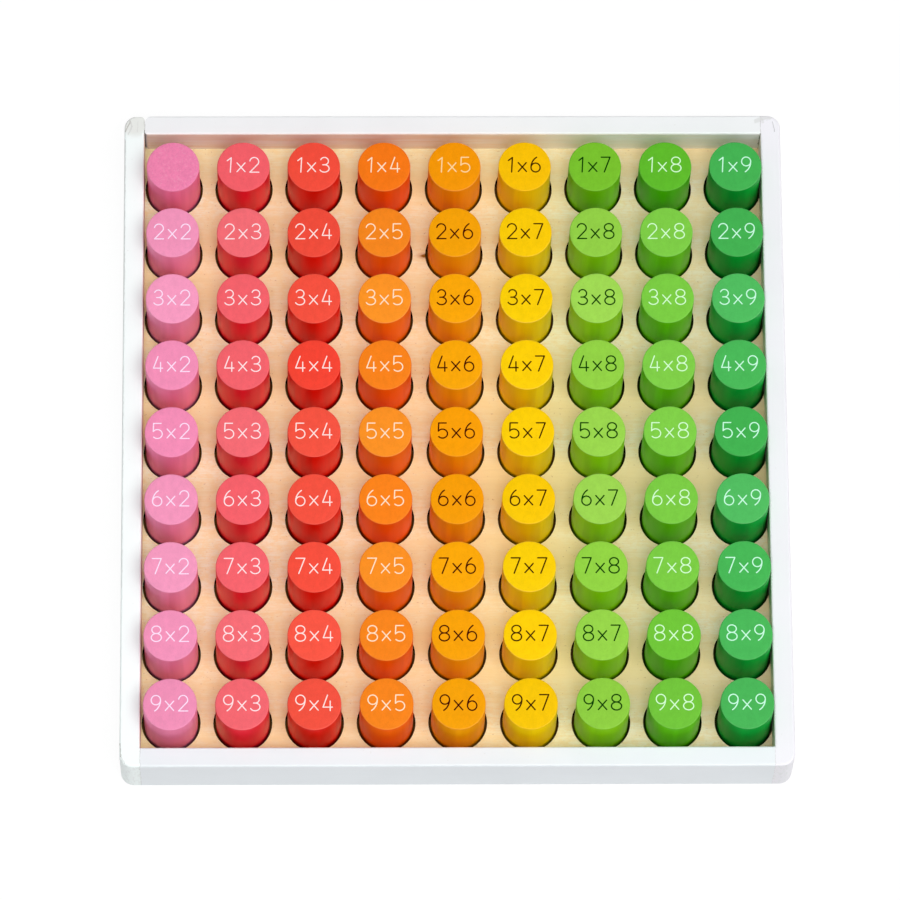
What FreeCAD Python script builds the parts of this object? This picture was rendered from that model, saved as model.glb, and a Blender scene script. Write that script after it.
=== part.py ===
import FreeCAD, Part
import os

# Multiplication bead board: a shallow wooden tray of four painted rails, a plate with a grid of
# round holes, a base board under it, and one column of round wooden beads for each colour.
# Millimetres. +X runs along a row of beads to the right, +Y to the back of the board, +Z up.
# The origin is the middle of the underside.

Vector = FreeCAD.Vector

# Beads, with the colour of each column from left to right
column_colours = [
    "pink",
    "rose",
    "red",
    "orange",
    "amber",
    "yellow",
    "lime",
    "green",
    "dark_green",
]
row_count = 9
bead_pitch = 26.75
bead_diameter = 20.0
bead_length = 30.0
bead_chamfer = 0.4

# Free widths between the outermost beads and the rails
left_gap = 1.2
right_gap = 0.4
back_gap = 6.9
front_gap = 3.9

# Perforated plate and base board
hole_play = 1.0
plate_thickness = 6.0
base_thickness = 3.0
panel_play = 0.2

# Rails
rail_thickness = 7.6
rim_height = 15.0
corner_radius = 5.0
rail_edge_radius = 0.8
rebate_width = 3.8
rebate_corner_radius = 6.0

# The back left joint: the back rail's end and the left rail's inner corner are rounded over, and the
# left rail stops short of the back rail's outer face
end_outer_radius = 3.2
end_inner_radius = 1.4
left_corner_radius = 1.5
rail_setback = 0.4

# Brads that hold the rails together and the two panels in their rebate
brad_diameter = 1.2
brad_head_diameter = 2.2
brad_head_thickness = 0.5
brad_point_length = 2.0
corner_brad_length = 22.0
corner_brad_inset = 2.3
corner_brad_edge = 4.5
panel_brad_length = 16.0
panel_brads_per_rail = 3

# Sizes that follow from those above
column_count = len(column_colours)
grid_width = (column_count - 1) * bead_pitch
grid_length = (row_count - 1) * bead_pitch
inner_width = grid_width + bead_diameter + left_gap + right_gap
inner_length = grid_length + bead_diameter + back_gap + front_gap
outer_width = inner_width + 2 * rail_thickness
outer_length = inner_length + 2 * rail_thickness
grid_centre_x = (left_gap - right_gap) / 2
grid_centre_y = (front_gap - back_gap) / 2
rebate_height = base_thickness + plate_thickness
rail_height = rebate_height + rim_height
rebate_line_x = inner_width / 2 + rebate_width / 2
rebate_line_y = inner_length / 2 + rebate_width / 2


def bead_x(column):
    """Centre of a column of beads, counted from the left."""
    return grid_centre_x - grid_width / 2 + column * bead_pitch


def bead_y(row):
    """Centre of a row of beads, counted from the back."""
    return grid_centre_y + grid_length / 2 - row * bead_pitch


def slab(width, length, bottom, height):
    """A block with square corners, centred on the origin in X and Y."""
    return Part.makeBox(width, length, height, Vector(-width / 2, -length / 2, bottom))


def rounded_slab(width, length, radius, bottom, height):
    """A block centred in X and Y whose four upright corners are rounded."""
    block = slab(width, length, bottom, height)
    upright = [edge for edge in block.Edges if edge.BoundBox.ZLength > height / 2]
    return block.makeFillet(radius, upright)


def turned(profile):
    """A solid of revolution about Z from an outline of (radius, height) points."""
    points = [Vector(radius, 0, height) for radius, height in profile]
    outline = Part.makePolygon(points + points[:1])
    return Part.Face(outline).revolve(Vector(0, 0, 0), Vector(0, 0, 1), 360)


def lies_in_plane(edge, axis, place):
    """True for an edge whose every point has the same coordinate along one axis."""
    box = edge.BoundBox
    low, high = {
        "x": (box.XMin, box.XMax),
        "y": (box.YMin, box.YMax),
        "z": (box.ZMin, box.ZMax),
    }[axis]
    return abs(low - place) < 1e-4 and abs(high - place) < 1e-4


def bead(x, y):
    """One turned bead with both rims broken, standing on the base board."""
    radius = bead_diameter / 2
    solid = turned(
        [
            (0, 0),
            (radius - bead_chamfer, 0),
            (radius, bead_chamfer),
            (radius, bead_length - bead_chamfer),
            (radius - bead_chamfer, bead_length),
            (0, bead_length),
        ]
    )
    solid.translate(Vector(x, y, base_thickness))
    return solid


def bead_column(column):
    """All the beads of one colour, as separate solids."""
    return Part.makeCompound([bead(bead_x(column), bead_y(row)) for row in range(row_count)])


def brad(length):
    """A wire brad along +Z from the top of its flat head, at zero, to its point."""
    shank = brad_diameter / 2
    head = brad_head_diameter / 2
    return turned(
        [
            (0, 0),
            (head, 0),
            (head, brad_head_thickness),
            (shank, brad_head_thickness),
            (shank, length - brad_point_length),
            (0, length),
        ]
    )


def corner_brads():
    """Brads driven through the side rails into the end grain of the front and back rails."""
    brads = []
    for side in (-1, 1):
        for end in (-1, 1):
            for z in (rebate_height + corner_brad_edge, rail_height - corner_brad_edge):
                solid = brad(corner_brad_length)
                solid.rotate(Vector(0, 0, 0), Vector(0, 1, 0), -90 * side)
                y = end * (inner_length / 2 + corner_brad_inset)
                solid.translate(Vector(side * outer_width / 2, y, z))
                brads.append(solid)
    return brads


def panel_brads():
    """Brads driven up through the base board and the plate into the lip of each rail."""
    places = []
    for i in range(panel_brads_per_rail):
        share = (i + 0.5) / panel_brads_per_rail - 0.5
        for side in (-1, 1):
            places.append((side * rebate_line_x, share * inner_length))
            places.append((share * inner_width, side * rebate_line_y))
    brads = []
    for x, y in places:
        solid = brad(panel_brad_length)
        solid.translate(Vector(x, y, 0))
        brads.append(solid)
    return brads


def panel(bottom, thickness):
    """A board that drops into the rebate from below, with a little play all round."""
    return rounded_slab(
        inner_width + 2 * (rebate_width - panel_play),
        inner_length + 2 * (rebate_width - panel_play),
        rebate_corner_radius - panel_play,
        bottom,
        thickness,
    )


def bead_holes():
    """The through holes of the plate, one round each bead."""
    radius = bead_diameter / 2 + hole_play
    holes = []
    for column in range(column_count):
        for row in range(row_count):
            foot = Vector(bead_x(column), bead_y(row), base_thickness)
            holes.append(Part.makeCylinder(radius, plate_thickness, foot))
    return holes


def perforated_plate(fasteners):
    """The plate that keeps the beads upright, resting on the base board."""
    plate = panel(base_thickness, plate_thickness)
    return plate.cut(bead_holes() + fasteners)


def base_board(fasteners):
    """The thin board that the beads stand on, flush with the underside of the rails."""
    return panel(0, base_thickness).cut(fasteners)


def tray_frame(fasteners):
    """The four rails as glued up: eased edges, and one rebate routed round the inside from below."""
    block = rounded_slab(outer_width, outer_length, corner_radius, 0, rail_height)
    outer_rims = [
        edge
        for edge in block.Edges
        if lies_in_plane(edge, "z", 0) or lies_in_plane(edge, "z", rail_height)
    ]
    block = block.makeFillet(rail_edge_radius, outer_rims)
    frame = block.cut(slab(inner_width, inner_length, 0, rail_height))
    inner_walls = [("x", side * inner_width / 2) for side in (-1, 1)]
    inner_walls += [("y", side * inner_length / 2) for side in (-1, 1)]
    inner_rim = [
        edge
        for edge in frame.Edges
        if lies_in_plane(edge, "z", rail_height)
        and any(lies_in_plane(edge, axis, place) for axis, place in inner_walls)
    ]
    frame = frame.makeFillet(rail_edge_radius, inner_rim)
    rebate = rounded_slab(
        inner_width + 2 * rebate_width,
        inner_length + 2 * rebate_width,
        rebate_corner_radius,
        0,
        rebate_height,
    )
    return frame.cut([rebate] + fasteners)


def side_rail(frame, side, setback):
    """The left (-1) or right (+1) rail, which covers the butt joints and may stop short at the back."""
    corner_x = inner_width / 2 if side > 0 else -outer_width / 2
    corner = Vector(corner_x, -outer_length / 2, 0)
    return frame.common(Part.makeBox(rail_thickness, outer_length - setback, rail_height, corner))


def end_rail(frame, side):
    """The front (-1) or back (+1) rail, which butts between the side rails."""
    corner_y = inner_length / 2 if side > 0 else -outer_length / 2
    corner = Vector(-inner_width / 2, corner_y, 0)
    return frame.common(Part.makeBox(inner_width, rail_thickness, rail_height, corner))


def corner_waste(corner_x, corner_y, into_x, into_y, radius):
    """What comes off an upright corner to round it over; the signs point from it into the wood."""
    axis_x = corner_x + into_x * radius
    axis_y = corner_y + into_y * radius
    foot = Vector(min(corner_x, axis_x), min(corner_y, axis_y), 0)
    block = Part.makeBox(radius, radius, rail_height, foot)
    return block.cut(Part.makeCylinder(radius, rail_height, Vector(axis_x, axis_y, 0)))


def left_rail(frame):
    """The left rail, short at the back, with its inner corner there rounded over."""
    end_y = outer_length / 2 - rail_setback
    waste = corner_waste(-inner_width / 2, end_y, -1, -1, left_corner_radius)
    return side_rail(frame, -1, rail_setback).cut(waste)


def back_rail(frame):
    """The back rail, with both upright corners of its left end rounded over."""
    end_x = -inner_width / 2
    outer = corner_waste(end_x, outer_length / 2, 1, -1, end_outer_radius)
    inner = corner_waste(end_x, inner_length / 2, 1, 1, end_inner_radius)
    return end_rail(frame, 1).cut([outer, inner])


def main():
    """Writes one STEP file for each node."""
    joint_fasteners = corner_brads()
    panel_fasteners = panel_brads()
    frame = tray_frame(joint_fasteners + panel_fasteners)
    nodes = {
        "rail_left": left_rail(frame),
        "rail_right": side_rail(frame, 1, 0),
        "rail_back": back_rail(frame),
        "rail_front": end_rail(frame, -1),
        "perforated_plate": perforated_plate(panel_fasteners),
        "base_board": base_board(panel_fasteners),
        "corner_brads": Part.makeCompound(joint_fasteners),
        "panel_brads": Part.makeCompound(panel_fasteners),
    }
    for column, colour in enumerate(column_colours):
        nodes["beads_" + colour] = bead_column(column)
    os.makedirs("parts", exist_ok=True)
    for name, shape in nodes.items():
        shape.exportStep("parts/" + name + ".step")
        print(name, len(shape.Solids), "solids", round(shape.Volume, 1), "mm3")


main()
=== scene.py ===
import math
import random

import bpy
from mathutils import Matrix, Vector
from mathutils.geometry import delaunay_2d_cdt


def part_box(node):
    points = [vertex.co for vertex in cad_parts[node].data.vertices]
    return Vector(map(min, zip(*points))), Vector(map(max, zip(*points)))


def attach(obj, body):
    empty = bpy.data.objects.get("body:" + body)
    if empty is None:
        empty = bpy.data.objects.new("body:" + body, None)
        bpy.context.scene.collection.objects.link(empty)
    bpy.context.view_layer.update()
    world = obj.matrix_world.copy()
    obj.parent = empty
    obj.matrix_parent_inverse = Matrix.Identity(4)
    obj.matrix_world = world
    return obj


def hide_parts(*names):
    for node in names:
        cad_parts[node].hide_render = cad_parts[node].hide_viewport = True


# Looks of the multiplication bead board: stained beads with their printed sums, birch plate and
# base board, white painted rails, wire brads, and the light, floor and camera of the photograph.
# The CAD frame is in metres; sizes here are millimetres unless a name says otherwise.

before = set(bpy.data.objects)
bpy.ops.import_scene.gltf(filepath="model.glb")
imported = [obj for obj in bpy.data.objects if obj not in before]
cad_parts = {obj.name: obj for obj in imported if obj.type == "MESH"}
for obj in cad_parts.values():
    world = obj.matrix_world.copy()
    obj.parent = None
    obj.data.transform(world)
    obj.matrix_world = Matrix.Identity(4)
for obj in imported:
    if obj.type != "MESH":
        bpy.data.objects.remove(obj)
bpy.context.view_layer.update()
MM = 0.001

# Columns from left to right: the sRGB colour of the end grain on the tops, that of the long grain
# on the sides, how much the sides shine, how much darker the back bead is made (painted shade where
# the light falls off at the back), and its print
COLUMNS = [
    ("pink", (243, 147, 186), (255, 142, 182), 0.08, 1.22, (253, 225, 248)),
    ("rose", (243, 104, 113), (242, 29, 53), 0.16, 1.0, (253, 228, 232)),
    ("red", (242, 74, 56), (237, 15, 1), 0.10, 1.06, (253, 228, 224)),
    ("orange", (247, 136, 28), (255, 105, 1), 0.04, 1.25, (253, 229, 197)),
    ("amber", (246, 163, 1), (255, 166, 1), 0.02, 1.22, (68, 4, 0)),
    ("yellow", (248, 201, 1), (255, 213, 1), 0.02, 1.1, (58, 28, 0)),
    ("lime", (150, 210, 73), (147, 218, 8), 0.06, 1.33, (0, 62, 0)),
    ("green", (119, 200, 63), (101, 203, 4), 0.08, 1.26, (213, 253, 207)),
    ("dark_green", (72, 181, 87), (5, 166, 55), 0.04, 1.08, (202, 253, 226)),
]
ROWS = 9

# Print. The back amber bead's sum is pale, unlike the others of its column. A colour whose channels
# are all under DARK_PRINT takes the broad stroke. Places are from the middle of a bead, and two rows
# are printed a little higher
BACK_AMBER_PRINT = (253, 219, 158)
DARK_PRINT = 128
PRINT_HEIGHT = 0.04
PALE_STROKE = 0.43
DARK_STROKE = 0.52
GLYPH_GAP = 1.2
BASELINE = -2.92
HIGHER_ROWS = {1: 0.4, 8: 0.28}
LABEL_SHIFT = -0.12

# Outlines of the figures: the grid they are traced on, and how far a point may be off when left out
GRID_STEP = 0.07
OUTLINE_TOLERANCE = 0.004

# Wood and paint
PLATE_LIGHT = (255, 255, 224)
PLATE_DARK = (252, 234, 174)
# The plate's right half is made redder: painted light that offsets the green light bounced off the
# green beads
PLATE_RUDDY = (1.0, 0.88, 0.94, 1.0)
# Upright faces such as the hole walls: painted shade, greenish on the right as painted reflection of
# the green beads
HOLE_SHADE = (20, 9, 5)
GREENISH_HOLE_SHADE = (7, 10, 3)
BASE_LIGHT = (226, 196, 154)
BASE_DARK = (212, 180, 138)
# The base board's upper face, seen only in the gaps under the beads: painted shade, greenish on the
# right as painted reflection of the green beads
BASE_UPPER_SHADE = (124, 84, 40)
GREENISH_UPPER_SHADE = (44, 58, 18)
PORE = (170, 120, 70)
KNOT = (-11.1, 78.3)
KNOT_HALO = (196, 138, 76)
KNOT_EYE = (150, 96, 10)
PAINT_END_GRAIN = (224, 228, 228)
PAINT_SPECK = (205, 205, 200)
SEAM = (150, 146, 138)
CRACK = (60, 50, 42)
# Grey of filler in the back joints, and painted shade on the rounded rail ends and the left rail's
# outer edge
FILLER_AND_SHADE = (206, 207, 205)
BARE_END = (226, 228, 224)
WIRE_DULL = (150, 150, 152)
WIRE_BRIGHT = (205, 205, 206)

# The thin paint on the inner sides of the rails, at the left and the right of the board. The right
# half's colours are whiter than the rails' paint: painted light on inner walls in the beads' shade
INNER_LIGHT = ((244, 242, 235), (255, 251, 255))
INNER_DARK = ((238, 223, 201), (255, 244, 242))

# Where the wood and the thin paint turn from their left to their right colours, along X
WOOD_TURN = (20, 70)
INNER_TURN = (0, 45)

# Marks that start further out than this lie on top of a rail, in this band of heights. The others
# lie on the joints and run down them
JOINT_REACH = 118
MARK_BAND = (20, 23)
MARK_WANDER = 1.2

# Each rail, its paint, whether it runs along X, and its marks: from, to, width, strength and colour.
# The paints differ a little from rail to rail in brightness and tint: painted light and shade for
# the lamps and the beads' light on each rail
RAILS = [
    (
        "rail_left",
        (246, 254, 253),
        False,
        [
            ((-121.6, 127.2), (-121.6, 128.0), 12.0, 0.9, BARE_END),
            ((-117.85, -122.5), (-117.85, -130), 0.22, 0.35, SEAM),
            ((-125.2, -121.0), (-124.9, -126.0), 0.35, 0.6, SEAM),
            ((-124.9, -126.0), (-123.4, -128.6), 0.3, 0.4, SEAM),
            ((-117.85, 122.6), (-117.85, 128.4), 0.3, 0.5, SEAM),
            ((-117.8, 122.4), (-117.8, 123.0), 0.5, 0.9, CRACK),
            # Painted shade along the left rail's eased outer edge
            ((-125.3, 120.0), (-125.3, 50.0), 0.8, 0.5, FILLER_AND_SHADE),
            ((-125.3, 50.0), (-125.3, -60.0), 0.8, 0.3, FILLER_AND_SHADE),
            ((-125.0, 123.6), (-123.2, 127.8), 0.5, 0.6, SEAM),
            # Painted shade on the rounded back end of the left rail
            ((-123.9, 122.4), (-122.6, 125.8), 0.7, 0.6, FILLER_AND_SHADE),
            ((-122.6, 125.8), (-123.4, 128.0), 0.6, 0.6, FILLER_AND_SHADE),
            ((-120.6, 123.4), (-120.2, 127.6), 0.4, 0.4, FILLER_AND_SHADE),
        ],
    ),
    (
        "rail_right",
        (239, 238, 244),
        False,
        [
            ((117.85, -122.5), (117.85, -130), 0.22, 0.3, SEAM),
            ((117.85, 122.3), (117.85, 130), 0.26, 0.6, SEAM),
            ((122.6, 127.4), (123.3, 123.4), 0.3, 0.4, CRACK),
            ((118.6, 128.9), (121.4, 129.0), 1.6, 0.55, FILLER_AND_SHADE),
            ((118.2, 128.6), (118.9, 127.4), 1.2, 0.4, FILLER_AND_SHADE),
        ],
    ),
    (
        "rail_back",
        (238, 240, 242),
        True,
        [
            ((117.6, 128.6), (116.2, 127.6), 1.8, 0.5, FILLER_AND_SHADE),
            # Painted shade on the back rail's rounded left end
            ((-117.8, 124.0), (-117.7, 126.6), 0.5, 0.7, FILLER_AND_SHADE),
            ((-117.8, 123.4), (-117.8, 123.9), 0.5, 0.9, CRACK),
            ((117.7, 122.4), (117.8, 122.4), 0.4, 0.8, CRACK),
        ],
    ),
    ("rail_front", (233, 238, 242), True, [((-117.75, -122.5), (-117.75, -130), 0.2, 0.3, SEAM)]),
]

# Bead form
RIM_RADIUS = 0.45
BEAD_SEGMENTS = 96
RIM_STEPS = 4
FACE_RINGS = (0.0, 0.34, 0.67)

# Stain: each bead's own tone and soak are drawn at random, and the first bead is speckled. Some
# rows are darker as a whole, as painted shade where the light falls off over the board. Soak goes
# from a scant to a full bath, as powers of the column's colour
SEED = 81
TONE_RANGE = (0.975, 1.02)
SOAK_RANGE = (0.1, 0.9)
ROW_SHADES = {1: 0.97, 2: 0.97, 9: 0.96}
SPECKLE = {"pink": 0.16}
SCANT_SOAK = 0.88
FULL_SOAK = 1.14

# World, and each lamp's name, place, size and power, in metres and watts
WHITE = (1, 1, 1, 1)
WORLD_LIGHT = 0.27
LAMPS = [
    ("overhead", (-0.1, -0.2, 3.2), 1.0, 12.4),
    ("right", (1.6, -0.3, 2.9), 2.4, 26.0),
    ("front", (0.0, -1.3, 2.92), 1.0, 30.0),
    ("front_right", (1.15, -1.25, 2.75), 1.5, 26.0),
]

# Floor: its half size, the half sizes and corners of its opening, and how far it lies under the tray
FLOOR_REACH = 3000
FLOOR_OPENING = (124.4, 129)
OPENING_CHAMFER = 2.5
FLOOR_DROP = 0.2
CLOTH = (0.8, 0.8, 0.8, 1)
FAINT_CLOTH = (0.1, 0.1, 0.1, 1)
FLOOR_GLOW = 0.92

# Camera: degrees, the point aimed at, the distance in metres, and the sensor and lens
VIEW_AZIMUTH = -3.112
VIEW_ELEVATION = 70.539
VIEW_ROLL = 2.843
VIEW_AIM = (-1.67, -0.42, 9.0)
VIEW_DISTANCE = 2.67532
SENSOR_WIDTH = 36.0
LENS = 282.59


def linear(colour):
    """An sRGB colour of 0 to 255 as linear red, green, blue and alpha."""
    made = []
    for value in colour:
        share = value / 255
        made.append(share / 12.92 if share <= 0.04045 else ((share + 0.055) / 1.055) ** 2.4)
    return (*made, 1.0)


class Surface:
    """A Principled material that is built up a node at a time."""

    def __init__(self, name, roughness=0.5, **constants):
        self.material = bpy.data.materials.new(name)
        self.material.use_nodes = True
        self.tree = self.material.node_tree
        self.shader = self.tree.nodes["Principled BSDF"]
        self.shader.inputs["Roughness"].default_value = roughness
        for socket, value in constants.items():
            self.shader.inputs[socket.replace("_", " ")].default_value = value
        self.place = self.node("ShaderNodeTexCoord").outputs["Object"]

    def node(self, kind, inputs=None, **settings):
        """A new node. Each input is a number, a colour or another node's output."""
        made = self.tree.nodes.new(kind)
        for name, value in settings.items():
            setattr(made, name, value)
        for socket, value in (inputs or {}).items():
            self.put(made.inputs[socket], value)
        return made

    def put(self, socket, value):
        if isinstance(value, bpy.types.NodeSocket):
            self.tree.links.new(value, socket)
        else:
            socket.default_value = value

    def math(self, operation, a, b=0.0):
        """One step of arithmetic on two values."""
        return self.node("ShaderNodeMath", {0: a, 1: b}, operation=operation).outputs[0]

    def times(self, a, b):
        """The product of two values."""
        return self.math("MULTIPLY", a, b)

    def plus(self, a, b):
        """The sum of two values."""
        return self.math("ADD", a, b)

    def step(self, value, low, high):
        """A smooth rise from 0 to 1 as the value goes from low to high."""
        inputs = {0: value, 1: low, 2: high}
        return self.node("ShaderNodeMapRange", inputs, interpolation_type="SMOOTHSTEP").outputs[0]

    def range(self, value, low, high):
        """A value of 0 to 1 spread from low to high."""
        return self.node("ShaderNodeMapRange", {0: value, 3: low, 4: high}).outputs[0]

    def mix(self, share, a, b, blend="MIX"):
        """Colour a turning to colour b with the share."""
        made = self.node("ShaderNodeMix", {0: share, 6: a, 7: b}, data_type="RGBA", blend_type=blend)
        return made.outputs[2]

    def stretch(self, x, y, z):
        """Object coordinates with their own scale along each axis, per metre."""
        made = self.node("ShaderNodeMapping", {"Vector": self.place, "Scale": (x, y, z)})
        return made.outputs[0]

    def noise(self, vector, scale=1.0, detail=3.0, roughness=0.55):
        """Soft noise of 0 to 1."""
        inputs = {"Vector": vector, "Scale": scale, "Detail": detail, "Roughness": roughness}
        return self.node("ShaderNodeTexNoise", inputs).outputs[0]

    def vector(self, operation, a, b):
        """One step of arithmetic on two vectors."""
        return self.node("ShaderNodeVectorMath", {0: a, 1: b}, operation=operation).outputs[0]

    def dot(self, a, b):
        """The dot product of two vectors."""
        return self.node("ShaderNodeVectorMath", {0: a, 1: b}, operation="DOT_PRODUCT").outputs[1]

    def normal(self):
        """The direction that the surface faces."""
        return self.node("ShaderNodeNewGeometry").outputs["Normal"]

    def attribute(self, name):
        """A value that the mesh carries."""
        return self.node("ShaderNodeAttribute", attribute_name=name).outputs["Fac"]

    def axes(self, vector):
        """The three parts of a vector."""
        return self.node("ShaderNodeSeparateXYZ", {0: vector}).outputs

    def bump(self, height, strength, distance):
        """Relief of the given height in metres."""
        inputs = {"Height": height, "Strength": strength, "Distance": distance}
        self.put(self.shader.inputs["Normal"], self.node("ShaderNodeBump", inputs).outputs[0])

    def finish(self, colour, roughness=None):
        self.put(self.shader.inputs["Base Color"], colour)
        if roughness is not None:
            self.put(self.shader.inputs["Roughness"], roughness)
        return self.material


def dress(piece, material):
    """Gives a piece this material alone."""
    piece.data.materials.clear()
    piece.data.materials.append(material)


# Materials


def scaled(colour, share):
    """A linear colour made darker or lighter."""
    return (*(min(1.0, c * share) for c in colour[:3]), 1.0)


def paler(colour, share):
    """A linear colour turned a little way to white."""
    return (*(c + (1.0 - c) * share for c in colour[:3]), 1.0)


def deeper(colour, power):
    """An sRGB colour made deeper, as by a longer bath in the stain: each bead's soak, and the painted
    shade of the back beads.
    """
    return tuple(255 * (value / 255) ** power for value in colour)


def toned(s, colour, base):
    """The colour with each bead's own tone and soak, since no two take the stain alike. The tone
    also carries the painted shade of the darker rows.
    """
    plain = linear(base)
    shares = []
    for power in (SCANT_SOAK, FULL_SOAK):
        shares.append(tuple(c / p for c, p in zip(linear(deeper(base, power)), plain)))
    tone_and_shade = s.attribute("tone_and_shade")
    grey = s.node("ShaderNodeCombineColor", {0: tone_and_shade, 1: tone_and_shade, 2: tone_and_shade}).outputs[0]
    soaked = s.mix(1.0, colour, s.mix(s.attribute("soak"), *shares), "MULTIPLY")
    return s.mix(1.0, soaked, grey, "MULTIPLY")


def stained_end(name, colour, speckle=0.0):
    """Stain on the end grain of a bead: fine flecks, soft clouds and a paler rim, which is a painted
    highlight. With speckle, open pores took more of the stain and the wood between them less."""
    s = Surface("stain_end_" + name, roughness=0.5, Specular_IOR_Level=0.05)
    upright = s.axes(s.normal())[2]
    rim = s.math("SUBTRACT", 1.0, s.step(upright, 0.80, 0.99))
    fleck = s.step(s.noise(s.stretch(2200, 1700, 1700), detail=2.0), 0.54, 0.72)
    cloud = s.noise(s.stretch(420, 300, 300), detail=5.0, roughness=0.7)
    face = linear(colour)
    end = s.mix(s.step(cloud, 0.3, 0.7), scaled(face, 0.96), scaled(face, 1.05))
    end = s.mix(s.times(fleck, 0.32), end, scaled(face, 0.78))
    if speckle:
        grain = s.noise(s.stretch(1150, 950, 950), detail=2.0, roughness=0.6)
        pore, dry = s.step(grain, 0.55, 0.66), s.step(grain, 0.44, 0.34)
        end = s.mix(s.times(pore, speckle), end, scaled(face, 0.6))
        end = s.mix(s.times(dry, speckle), end, paler(face, 0.4))
    # The rounded rim is made paler: a painted highlight
    end = s.mix(s.times(rim, 0.8), end, paler(scaled(face, 1.06), 0.03))
    s.bump(s.plus(s.times(fleck, -0.5), s.times(cloud, 0.6)), 0.5, 0.00006)
    return s.finish(toned(s, end, colour), s.range(cloud, 0.42, 0.58))


def stained_side(name, colour, shine):
    """Stain on the long grain round a bead: broad soft bands, fine lines and a silky sheen."""
    s = Surface("stain_side_" + name, roughness=0.4, Specular_IOR_Level=shine)
    band = s.noise(s.stretch(190, 190, 8), detail=1.0)
    line = s.noise(s.stretch(1300, 1300, 40), detail=2.0)
    flank = linear(colour)
    side = s.mix(s.step(band, 0.40, 0.60), scaled(flank, 0.91), scaled(flank, 1.05))
    side = s.mix(s.times(s.step(line, 0.5, 0.8), 0.25), side, scaled(flank, 0.8))
    s.bump(s.plus(line, s.times(band, 0.5)), 0.3, 0.00005)
    return s.finish(toned(s, side, colour), s.range(band, 0.34, 0.48))


def print_ink(name, colour):
    """Screen printed ink, thin enough for the end grain to break it up a little."""
    s = Surface("ink_" + name, roughness=0.5, Specular_IOR_Level=0.02)
    thin = s.step(s.noise(s.stretch(2400, 2400, 2400), detail=2.0), 0.52, 0.75)
    ink = linear(colour)
    worn = tuple(c * 0.86 for c in ink[:3]) + (1.0,)
    s.bump(thin, 0.3, 0.00002)
    return s.finish(s.mix(thin, ink, worn))


def birch(name, light, dark, knot=None, ruddy=None, shaded_upper=None):
    """Birch ply face: soft bands across the board and fine pores. Upright faces such as the hole walls
    are painted near black as painted shade, greenish on the right as painted reflection of the
    green beads. Where given, it has a knot, a redder right half that is painted light offsetting
    the green light bounced off the beads, and an upper face painted dark as shade in the gaps
    under the beads, with its colours left and right."""
    s = Surface(name, roughness=0.7, Specular_IOR_Level=0.0)
    bands = s.noise(s.stretch(7, 45, 20), detail=4.0, roughness=0.5)
    blotch = s.noise(s.stretch(330, 560, 500), detail=5.0, roughness=0.7)
    streak = s.step(s.noise(s.stretch(22, 330, 100), detail=3.0), 0.56, 0.72)
    fibre = s.noise(s.stretch(120, 1500, 900), detail=4.0, roughness=0.7)
    pore = s.step(s.noise(s.stretch(900, 1400, 1500), detail=1.0), 0.70, 0.80)
    upright = s.axes(s.normal())[2]
    # Upright faces are painted near black: painted shade, greenish on the right as painted reflection
    # of the green beads
    hole_shade = s.math("SUBTRACT", 1.0, s.step(s.math("ABSOLUTE", upright), 0.3, 0.7))
    wood = s.mix(s.step(bands, 0.3, 0.7), linear(light), linear(dark))
    wood = s.mix(s.times(s.step(blotch, 0.42, 0.62), 0.7), wood, linear(dark))
    wood = s.mix(s.times(streak, 0.5), wood, scaled(linear(dark), 0.92))
    wood = s.mix(s.times(s.step(fibre, 0.42, 0.62), 0.45), wood, scaled(linear(dark), 0.97))
    wood = s.mix(s.times(pore, 0.4), wood, linear(PORE))
    turn = s.step(s.axes(s.place)[0], *(x * MM for x in WOOD_TURN))
    if ruddy is not None:
        # A redder right half: painted light that offsets the green light bounced off the green beads
        wood = s.mix(1.0, wood, s.mix(turn, WHITE, ruddy), "MULTIPLY")
    if knot is not None:
        eye, halo = knot_marks(s, *knot)
        wood = s.mix(s.times(halo, 0.45), wood, linear(KNOT_HALO))
        wood = s.mix(s.times(eye, 0.95), wood, linear(KNOT_EYE))
    if shaded_upper is not None:
        # Upward faces take darker colours: painted shade in the gaps under the beads, greenish on the
        # right as painted reflection
        wood = s.mix(s.step(upright, 0.5, 0.9), wood, s.mix(turn, *(linear(c) for c in shaded_upper)))
    wood = s.mix(hole_shade, wood, s.mix(turn, linear(HOLE_SHADE), linear(GREENISH_HOLE_SHADE)))
    s.bump(s.plus(fibre, s.times(pore, -0.6)), 0.4, 0.00008)
    return s.finish(wood, s.range(fibre, 0.55, 0.7))


def knot_marks(s, x, y):
    """A pin knot at a place on the board: a dark eye that tails off to the left along the grain."""
    ripple = s.times(s.math("SUBTRACT", s.noise(s.stretch(1500, 1500, 1500)), 0.5), 0.6)
    px, py, _ = s.axes(s.place)
    across = s.times(s.math("SUBTRACT", px, x * MM), 1000)
    up = s.math("ABSOLUTE", s.times(s.math("SUBTRACT", py, y * MM), 1000))
    width = s.plus(s.times(across, 0.34), 0.95)
    edge = s.math("SUBTRACT", s.plus(width, ripple), up)
    ahead = s.step(across, 0.9, 0.5)
    behind = s.step(across, -2.2, -0.6)
    eye = s.times(s.times(s.step(edge, 0.0, 0.6), ahead), behind)
    squares = s.plus(s.math("POWER", s.times(across, 0.5), 2), s.math("POWER", up, 2))
    reach = s.math("SQRT", squares)
    halo = s.step(s.plus(reach, ripple), 1.9, 0.6)
    return eye, halo


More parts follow.
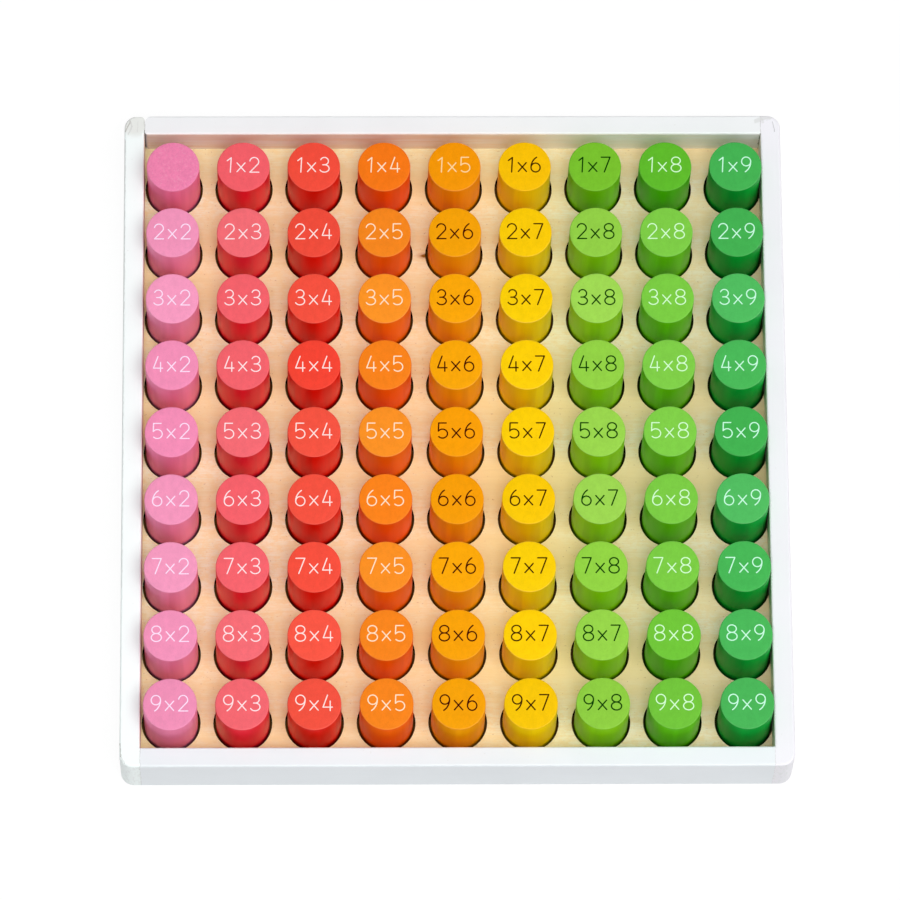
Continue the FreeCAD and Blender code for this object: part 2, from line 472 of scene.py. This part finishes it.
def white_paint(name, colour, along_x, marks):
    """White satin paint brushed along a rail, a little uneven over the wood, with its marks."""
    s = Surface(name, roughness=0.42)
    brush_scale = (12, 420, 420) if along_x else (420, 12, 420)
    brush = s.noise(s.stretch(*brush_scale), detail=3.0)
    cloud = s.noise(s.stretch(30, 30, 30), detail=3.0)
    speck = s.step(s.noise(s.stretch(700, 700, 700), detail=1.0), 0.74, 0.82)
    white = s.mix(s.step(cloud, 0.35, 0.7), linear(colour), scaled(linear(colour), 0.97))
    white = s.mix(s.times(speck, 0.25), white, linear(PAINT_SPECK))
    relief = s.plus(brush, s.times(cloud, 0.8))
    if not along_x:
        facing = s.axes(s.normal())[1]
        end = s.step(s.math("ABSOLUTE", facing), 0.7, 0.9)
        rings = s.noise(s.stretch(900, 300, 260), detail=4.0, roughness=0.7)
        ringed = s.times(end, s.step(rings, 0.45, 0.75))
        white = s.mix(ringed, white, linear(PAINT_END_GRAIN))
        relief = s.plus(relief, s.times(s.times(end, rings), 3.0))
    white = s.mix(inner_side(s), white, thin_paint(s, along_x))
    for start, stop, width, strength, colour in marks:
        mark = s.times(stroke_mark(s, start, stop, width), strength)
        if abs(start[0]) > JOINT_REACH:
            mark = s.times(mark, s.step(s.axes(s.place)[2], *(z * MM for z in MARK_BAND)))
        white = s.mix(mark, white, linear(colour))
        relief = s.plus(relief, s.times(mark, -1.5))
    s.bump(relief, 0.35, 0.00012)
    return s.finish(white, s.range(brush, 0.36, 0.5))


def inner_side(s):
    """One on the faces that look to the middle of the board from 100 mm away or more, zero on all
    others."""
    return s.step(s.dot(s.place, s.normal()), -60 * MM, -100 * MM)


def thin_paint(s, along_x):
    """The inner side of a rail, where a thin coat lets the grain of the wood through. Its colours
    are given for the left and the right half of the board; the right half's are lighter, as painted
    light."""
    turn = s.step(s.axes(s.place)[0], *(x * MM for x in INNER_TURN))
    light, dark = (s.mix(turn, *(linear(c) for c in pair)) for pair in (INNER_LIGHT, INNER_DARK))
    streak_scale = (22, 380, 380) if along_x else (380, 22, 380)
    streaks = s.noise(s.stretch(*streak_scale), detail=4.0)
    patches = s.noise(s.stretch(60, 60, 200), detail=2.0)
    wood = s.mix(s.step(streaks, 0.38, 0.66), light, dark)
    return s.mix(s.times(s.step(patches, 0.4, 0.7), 0.4), wood, dark)


def stroke_mark(s, start, stop, width):
    """A wandering mark in plan from one point of the board to another, in millimetres."""
    inputs = {"Vector": s.place, "Scale": 500.0, "Detail": 2.0}
    wander = s.node("ShaderNodeTexNoise", inputs).outputs[1]
    centred = s.vector("SUBTRACT", wander, (0.5, 0.5, 0.5))
    reach = (MARK_WANDER * MM, MARK_WANDER * MM, 0.0)
    place = s.vector("ADD", s.place, s.vector("MULTIPLY", centred, reach))
    flat = s.vector("MULTIPLY", place, (1, 1, 0))
    ax, ay, bx, by = (c * MM for c in (*start, *stop))
    along = (bx - ax, by - ay, 0)
    length = math.hypot(*along)
    offset = s.vector("SUBTRACT", flat, (ax, ay, 0))
    share = s.times(s.dot(offset, along), 1 / length ** 2)
    share = s.math("MINIMUM", s.math("MAXIMUM", share, 0.0), 1.0)
    foot = s.node("ShaderNodeVectorMath", {0: along, "Scale": share}, operation="SCALE").outputs[0]
    apart = {0: s.vector("SUBTRACT", offset, foot)}
    away = s.node("ShaderNodeVectorMath", apart, operation="LENGTH").outputs[1]
    return s.step(away, width * 0.6 * MM, width * 0.3 * MM)


def bright_wire(name):
    """Drawn steel wire with a slightly dull head."""
    s = Surface(name, roughness=0.35, Metallic=1.0)
    scratch = s.noise(s.stretch(1500, 1500, 300), detail=3.0)
    s.bump(scratch, 0.3, 0.00003)
    steel = s.mix(scratch, linear(WIRE_DULL), linear(WIRE_BRIGHT))
    return s.finish(steel, s.range(scratch, 0.28, 0.5))


# Beads


def bead_profile(radius, low, high, rim):
    """Half outline of a bead from the middle of its foot to that of its top, with round rims."""
    points = []
    for share in FACE_RINGS:
        points.append((share * (radius - rim), low))
    for centre_z, start in ((low + rim, -90), (high - rim, 0)):
        for i in range(RIM_STEPS + 1):
            angle = math.radians(start + 90 * i / RIM_STEPS)
            points.append((radius - rim + rim * math.cos(angle), centre_z + rim * math.sin(angle)))
    for share in reversed(FACE_RINGS):
        points.append((share * (radius - rim), high))
    return points


def lathe(name, centre, profile, segments):
    """A closed mesh turned about an upright axis; the profile's first and last points are on it."""
    cx, cy = centre
    vertices = [(cx, cy, profile[0][1])]
    faces = []
    rings = []
    for radius, z in profile[1:-1]:
        rings.append(len(vertices))
        for i in range(segments):
            angle = 2 * math.pi * i / segments
            vertices.append((cx + radius * math.cos(angle), cy + radius * math.sin(angle), z))
    last = len(vertices)
    vertices.append((cx, cy, profile[-1][1]))
    for i in range(segments):
        j = (i + 1) % segments
        faces.append((0, rings[0] + j, rings[0] + i))
        for low, high in zip(rings, rings[1:]):
            faces.append((low + i, low + j, high + j, high + i))
        faces.append((rings[-1] + i, rings[-1] + j, last))
    mesh = bpy.data.meshes.new(name)
    mesh.from_pydata([[c * MM for c in v] for v in vertices], [], faces)
    mesh.validate()
    mesh.shade_smooth()
    return mesh


def add_piece(name, mesh, material):
    """A piece of the object that rides on its one body."""
    piece = bpy.data.objects.new(name, mesh)
    bpy.context.scene.collection.objects.link(piece)
    dress(piece, material)
    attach(piece, "root")
    return piece


def bead_grid():
    """Centres, radius and heights of the beads in millimetres, read from the CAD columns."""
    boxes = [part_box("beads_" + column[0]) for column in COLUMNS]
    low, high = boxes[0]
    radius = (high.x - low.x) / 2 / MM
    back = high.y / MM - radius
    pitch = (back - low.y / MM - radius) / (ROWS - 1)
    columns = [(low.x + high.x) / 2 / MM for low, high in boxes]
    rows = [back - pitch * i for i in range(ROWS)]
    return columns, rows, radius, low.z / MM, high.z / MM


def make_beads(columns, rows, radius, foot, head):
    """Every bead as a piece of its own, shorter than the CAD one by the height of its print."""
    draw = random.Random(SEED)
    for (colour, end_colour, side_colour, shine, back_shade, _), x in zip(COLUMNS, columns):
        common = stained_end(colour, end_colour), stained_side(colour, side_colour, shine)
        # The back bead is made darker: painted shade where the light falls off at the back
        shaded_back_name = colour + "_back"
        back = (
            stained_end(shaded_back_name, deeper(end_colour, back_shade), SPECKLE.get(colour, 0.0)),
            stained_side(shaded_back_name, deeper(side_colour, back_shade), shine),
        )
        for number, y in enumerate(rows, 1):
            end_grain, long_grain = back if number == 1 else common
            profile = bead_profile(radius, foot, head - PRINT_HEIGHT, RIM_RADIUS)
            mesh = lathe(f"bead_{colour}_{number}", (x, y), profile, BEAD_SEGMENTS)
            # Some rows are darker as a whole: painted shade
            shade = draw.uniform(*TONE_RANGE) * ROW_SHADES.get(number, 1.0)
            for kind, value in (("tone_and_shade", shade), ("soak", draw.uniform(*SOAK_RANGE))):
                own = mesh.attributes.new(kind, "FLOAT", "POINT")
                own.data.foreach_set("value", [value] * len(mesh.vertices))
            piece = add_piece(mesh.name, mesh, end_grain)
            mesh.materials.append(long_grain)
            for face in mesh.polygons:
                face.material_index = int(abs(face.normal.z) < 0.05)
            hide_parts("beads_" + colour)


# Print: each figure has a width and a few strokes, from its left end on the baseline


def arc(x, y, radius_x, radius_y, start, end, steps=26):
    """Points on part of an ellipse, from one angle in degrees to another."""
    points = []
    for i in range(steps + 1):
        angle = math.radians(start + (end - start) * i / steps)
        points.append((x + radius_x * math.cos(angle), y + radius_y * math.sin(angle)))
    return points


def half_turn(strokes, x, y):
    """The same strokes turned upside down about a point."""
    return [[(2 * x - px, 2 * y - py) for px, py in stroke] for stroke in strokes]


# Heights of a stroke along the top and along the foot of a figure
CAP = 6.31
FOOT = 0.29

SIX = [arc(4.6, 2.1, 4.31, 4.85, 120, 180), arc(2.02, 2.1, 1.73, 1.81, 0, 360, 48)]
THREE = [
    arc(1.9, 4.8, 1.5, 1.51, 158, -90),
    [(1.25, 3.29), (1.9, 3.29)],
    arc(1.86, 1.79, 1.8, 1.5, 90, -155),
]
GLYPHS = {
    "1": (2.5, [[(0.29, 5.0), (1.78, 6.2), (1.45, FOOT)]]),
    "2": (4.05, [arc(2.0, 4.57, 1.68, 1.74, 170, -32) + [(0.34, FOOT), (3.76, FOOT)]]),
    "3": (3.95, THREE),
    "4": (4.05, [[(1.95, CAP), (0.29, 1.65), (3.76, 1.65)], [(2.95, 4.0), (2.95, FOOT)]]),
    "5": (4.05, [[(3.3, CAP), (0.5, CAP), (0.36, 3.08)] + arc(1.9, 2.07, 1.86, 1.78, 145, -138)]),
    "6": (4.05, SIX),
    "7": (3.9, [[(FOOT, CAP), (3.6, CAP), (1.35, FOOT)]]),
    "8": (4.35, [arc(2.17, 4.85, 1.66, 1.46, 0, 360, 48), arc(2.17, 1.84, 1.88, 1.55, 0, 360, 48)]),
    "9": (4.05, half_turn(SIX, 2.02, 3.3)),
    "x": (3.65, [[(0.3, 0.5), (3.35, 4.1)], [(0.3, 4.1), (3.35, 0.5)]]),
}


def label(row, column):
    """The sum printed on a bead, counted from the back left corner; the first bead has none."""
    if row == 1:
        return "" if column == 1 else f"1x{column}"
    if column <= 6:
        return f"{row}x{column + 1}"
    if column == 7:
        return f"{row}x7" if row in (6, 8) else f"{row}x8"
    return f"{row}x{column}"


def ink_colour(row, column):
    """The colour that a bead's sum prints in; the stain shows through the pale ones."""
    return BACK_AMBER_PRINT if (row, column) == (1, 5) else COLUMNS[column - 1][-1]


def distance_to_strokes(x, y, pieces):
    """Distance from a point to the nearest straight piece of a figure."""
    best = 1e9
    for ax, ay, bx, by in pieces:
        dx, dy = bx - ax, by - ay
        share = ((x - ax) * dx + (y - ay) * dy) / (dx * dx + dy * dy)
        share = min(1.0, max(0.0, share))
        best = min(best, math.hypot(x - ax - share * dx, y - ay - share * dy))
    return best


def straight_pieces(strokes):
    """The strokes as single straight pieces."""
    return [(*a, *b) for stroke in strokes for a, b in zip(stroke, stroke[1:])]


def outlines(strokes, half):
    """Closed outlines round the strokes at half their width, by marching over a fine grid."""
    pieces = straight_pieces(strokes)
    xs = [p[0] for stroke in strokes for p in stroke]
    ys = [p[1] for stroke in strokes for p in stroke]
    left, bottom = min(xs) - 2 * half, min(ys) - 2 * half
    across = int((max(xs) + 2 * half - left) / GRID_STEP) + 2
    up = int((max(ys) + 2 * half - bottom) / GRID_STEP) + 2
    field = {}
    for i in range(across):
        for j in range(up):
            x, y = left + i * GRID_STEP, bottom + j * GRID_STEP
            field[i, j] = half - distance_to_strokes(x, y, pieces)

    def crossing(a, b):
        share = field[a] / (field[a] - field[b])
        return (
            left + (a[0] + share * (b[0] - a[0])) * GRID_STEP,
            bottom + (a[1] + share * (b[1] - a[1])) * GRID_STEP,
        )

    following = {}
    points = {}
    for i in range(across - 1):
        for j in range(up - 1):
            ring = [(i, j), (i + 1, j), (i + 1, j + 1), (i, j + 1)]
            inside = [field[c] > 0 for c in ring]
            enters, leaves = [], []
            for k in range(4):
                a, b = ring[k], ring[(k + 1) % 4]
                if inside[k] != inside[(k + 1) % 4]:
                    edge = (min(a, b), max(a, b))
                    points[edge] = crossing(*edge)
                    (leaves if inside[k] else enters).append(edge)
            for leave, enter in zip(leaves, reversed(enters) if len(enters) > 1 else enters):
                following[leave] = enter
    loops = []
    while following:
        start, edge = following.popitem()
        loop = [points[start]]
        while edge != start:
            loop.append(points[edge])
            edge = following.pop(edge)
        loops.append(loop)
    return [thin_out(loop) for loop in loops]


def thin_out(loop, tolerance=OUTLINE_TOLERANCE):
    """The loop with only the points that its shape needs."""
    def keep(first, last):
        ax, ay = loop[first]
        bx, by = loop[last % len(loop)]
        length = math.hypot(bx - ax, by - ay) or 1e-9
        far, at = 0.0, None
        for k in range(first + 1, last):
            px, py = loop[k]
            off = abs((px - ax) * (by - ay) - (py - ay) * (bx - ax)) / length
            if off > far:
                far, at = off, k
        if far <= tolerance:
            return [first]
        return keep(first, at) + keep(at, last)

    middle = len(loop) // 2
    return [loop[k] for k in keep(0, middle) + keep(middle, len(loop))]


def filled(strokes, half):
    """Points and triangles of the inked area of one figure; the triangles turn to the left."""
    corners, edges = [], []
    for loop in outlines(strokes, half):
        first = len(corners)
        corners += [Vector(point) for point in loop]
        edges += [(first + k, first + (k + 1) % len(loop)) for k in range(len(loop))]
    points, _, triangles, *_ = delaunay_2d_cdt(corners, edges, [], 1, 1e-6)
    pieces = straight_pieces(strokes)
    inked = []
    for a, b, c in triangles:
        middle = (points[a] + points[b] + points[c]) / 3
        if distance_to_strokes(*middle, pieces) < half:
            inked.append((a, b, c))
    return points, inked


def glyph_solid(strokes, stroke_width):
    """Vertices and faces of one figure as a thin closed plate, from z 0 to the print's height."""
    points, inked = filled(strokes, stroke_width / 2)
    used = sorted({k for triangle in inked for k in triangle})
    number = {k: i for i, k in enumerate(used)}
    inked = [tuple(number[k] for k in triangle) for triangle in inked]
    count = len(used)
    vertices = [(*points[k], z) for z in (0.0, PRINT_HEIGHT) for k in used]
    sides = {(t[k], t[(k + 1) % 3]) for t in inked for k in range(3)}
    faces = [tuple(k + count for k in triangle) for triangle in inked]
    faces += [tuple(reversed(triangle)) for triangle in inked]
    faces += [(a, b, b + count, a + count) for a, b in sorted(sides) if (b, a) not in sides]
    return vertices, faces


def make_prints(columns, rows, head):
    """The sum on each bead, as thin ink lying on the bead's top."""
    solids = {
        (name, wide): glyph_solid(strokes, wide)
        for name, (_, strokes) in GLYPHS.items()
        for wide in (PALE_STROKE, DARK_STROKE)
    }
    inks = {}
    for row, y in enumerate(rows, 1):
        for column, x in enumerate(columns, 1):
            text = label(row, column)
            if not text:
                continue
            width = sum(GLYPHS[c][0] for c in text) + GLYPH_GAP * (len(text) - 1)
            pen = x + LABEL_SHIFT - width / 2
            line = y + BASELINE + HIGHER_ROWS.get(row, 0.0)
            vertices, faces = [], []
            colour = ink_colour(row, column)
            wide = DARK_STROKE if max(colour) < DARK_PRINT else PALE_STROKE
            if colour not in inks:
                inks[colour] = print_ink(f"{row}_{column}", colour)
            for c in text:
                base = len(vertices)
                own_vertices, own_faces = solids[c, wide]
                vertices += [
                    ((pen + vx) * MM, (line + vy) * MM, (head - PRINT_HEIGHT + vz) * MM)
                    for vx, vy, vz in own_vertices
                ]
                faces += [tuple(base + v for v in face) for face in own_faces]
                pen += GLYPHS[c][0] + GLYPH_GAP
            mesh = bpy.data.meshes.new(f"print_{row}_{column}")
            mesh.from_pydata(vertices, [], faces)
            mesh.validate()
            add_piece(mesh.name, mesh, inks[colour])


# The tray


def dress_tray():
    """Paint, wood and wire for the CAD pieces that show as they are."""
    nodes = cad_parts
    for name, paint, along_x, marks in RAILS:
        dress(nodes[name], white_paint("paint_" + name, paint, along_x, marks))
    plate = birch("birch_plate", PLATE_LIGHT, PLATE_DARK, knot=KNOT, ruddy=PLATE_RUDDY)
    dress(nodes["perforated_plate"], plate)
    # Painted shade for the base board's upper face, greenish on the right as painted reflection
    upper_shade = BASE_UPPER_SHADE, GREENISH_UPPER_SHADE
    dress(nodes["base_board"], birch("birch_base", BASE_LIGHT, BASE_DARK, shaded_upper=upper_shade))
    wire = bright_wire("brad_steel")
    dress(nodes["corner_brads"], wire)
    dress(nodes["panel_brads"], wire)


# Light, floor and camera


def fresh(tree, kind, *values):
    """The output of a new node whose first inputs have these values."""
    made = tree.nodes.new(kind)
    for socket, value in zip(made.inputs, values):
        socket.default_value = value
    return made.outputs[0]


def fed(tree, kind, *sources):
    """The output of a new node whose first inputs come from these outputs."""
    made = tree.nodes.new(kind)
    for socket, source in zip(made.inputs, sources):
        tree.links.new(source, socket)
    return made.outputs[0]


def shows_background(tree):
    """One for rays from the camera, off metal or through glass, and zero for light on the board."""
    path = tree.nodes.new("ShaderNodeLightPath")
    share = path.outputs["Is Camera Ray"]
    for kind in ("Is Glossy Ray", "Is Transmission Ray"):
        either = tree.nodes.new("ShaderNodeMath")
        either.operation = "MAXIMUM"
        tree.links.new(share, either.inputs[0])
        tree.links.new(path.outputs[kind], either.inputs[1])
        share = either.outputs[0]
    return share


def make_world():
    """Even light from all round, seen as plain white."""
    world = bpy.data.worlds.new("studio")
    bpy.context.scene.world = world
    world.use_nodes = True
    tree = world.node_tree
    tree.nodes.clear()
    light = fresh(tree, "ShaderNodeBackground", WHITE, WORLD_LIGHT)
    seen = fresh(tree, "ShaderNodeBackground", WHITE, 1.0)
    mixed = fed(tree, "ShaderNodeMixShader", shows_background(tree), light, seen)
    tree.links.new(mixed, tree.nodes.new("ShaderNodeOutputWorld").inputs[0])


def floor_mesh():
    """A wide square with an opening under the tray. Its corners are cut, since the tray's are round."""
    z = -FLOOR_DROP
    far = FLOOR_REACH
    x, y = FLOOR_OPENING
    near_x, near_y = x - OPENING_CHAMFER, y - OPENING_CHAMFER
    corners, faces = [], []
    for k, (sx, sy) in enumerate(((-1, -1), (1, -1), (1, 1), (-1, 1))):
        cut = [(sx * x, sy * near_y, z), (sx * near_x, sy * y, z)]
        corners += [(sx * far, sy * far, z), *(cut if sx * sy > 0 else reversed(cut))]
        here, after = 3 * k, 3 * ((k + 1) % 4)
        faces += [(here, here + 2, here + 1), (here, after, after + 1, here + 2)]
    mesh = bpy.data.meshes.new("floor")
    mesh.from_pydata([[c * MM for c in corner] for corner in corners], [], faces)
    return mesh


def floor_material():
    """Pale cloth that the camera sees as white with a faint shadow, and from below not at all."""
    material = bpy.data.materials.new("floor")
    material.use_nodes = True
    tree = material.node_tree
    tree.nodes.clear()
    cloth = fresh(tree, "ShaderNodeBsdfDiffuse", CLOTH)
    faint = fresh(tree, "ShaderNodeBsdfDiffuse", FAINT_CLOTH)
    glow = fresh(tree, "ShaderNodeEmission", WHITE, FLOOR_GLOW)
    bright = fed(tree, "ShaderNodeAddShader", faint, glow)
    mixed = fed(tree, "ShaderNodeMixShader", shows_background(tree), cloth, bright)
    below = tree.nodes.new("ShaderNodeNewGeometry").outputs["Backfacing"]
    clear = tree.nodes.new("ShaderNodeBsdfTransparent").outputs[0]
    whole = fed(tree, "ShaderNodeMixShader", below, mixed, clear)
    tree.links.new(whole, tree.nodes.new("ShaderNodeOutputMaterial").inputs[0])
    return material


def make_floor():
    """The floor. Light reaches the underside of the tray through its opening."""
    floor = bpy.data.objects.new("floor", floor_mesh())
    bpy.context.scene.collection.objects.link(floor)
    dress(floor, floor_material())


def softbox(name, place, size, power):
    """A square lamp that faces the middle of the board."""
    light = bpy.data.lights.new(name, "AREA")
    light.size = size
    light.energy = power
    lamp = bpy.data.objects.new(name, light)
    lamp.location = place
    lamp.rotation_mode = "QUATERNION"
    lamp.rotation_quaternion = (-Vector(place)).to_track_quat("-Z", "Y")
    lamp.visible_camera = False
    bpy.context.scene.collection.objects.link(lamp)


def make_camera():
    """The photograph's view: from above the front edge, a long way off."""
    azimuth = math.radians(VIEW_AZIMUTH)
    elevation = math.radians(VIEW_ELEVATION)
    roll = math.radians(VIEW_ROLL)
    back = Vector(
        (
            math.sin(azimuth) * math.cos(elevation),
            -math.cos(azimuth) * math.cos(elevation),
            math.sin(elevation),
        )
    )
    level = Vector((0, 0, 1)).cross(back).normalized()
    right = level * math.cos(roll) + back.cross(level) * math.sin(roll)
    up = back.cross(right)
    data = bpy.data.cameras.new("camera")
    data.sensor_width = SENSOR_WIDTH
    data.lens = LENS
    camera = bpy.data.objects.new("camera", data)
    turn = Matrix((right, up, back)).transposed().to_4x4()
    place = Vector(VIEW_AIM) * MM + back * VIEW_DISTANCE
    camera.matrix_world = Matrix.Translation(place) @ turn
    bpy.context.scene.collection.objects.link(camera)
    bpy.context.scene.camera = camera


columns, rows, radius, foot, head = bead_grid()
make_beads(columns, rows, radius, foot, head)
make_prints(columns, rows, head)
dress_tray()
make_world()
make_floor()
for lamp in LAMPS:
    softbox(*lamp)
make_camera()
bpy.context.scene.view_settings.view_transform = "Standard"
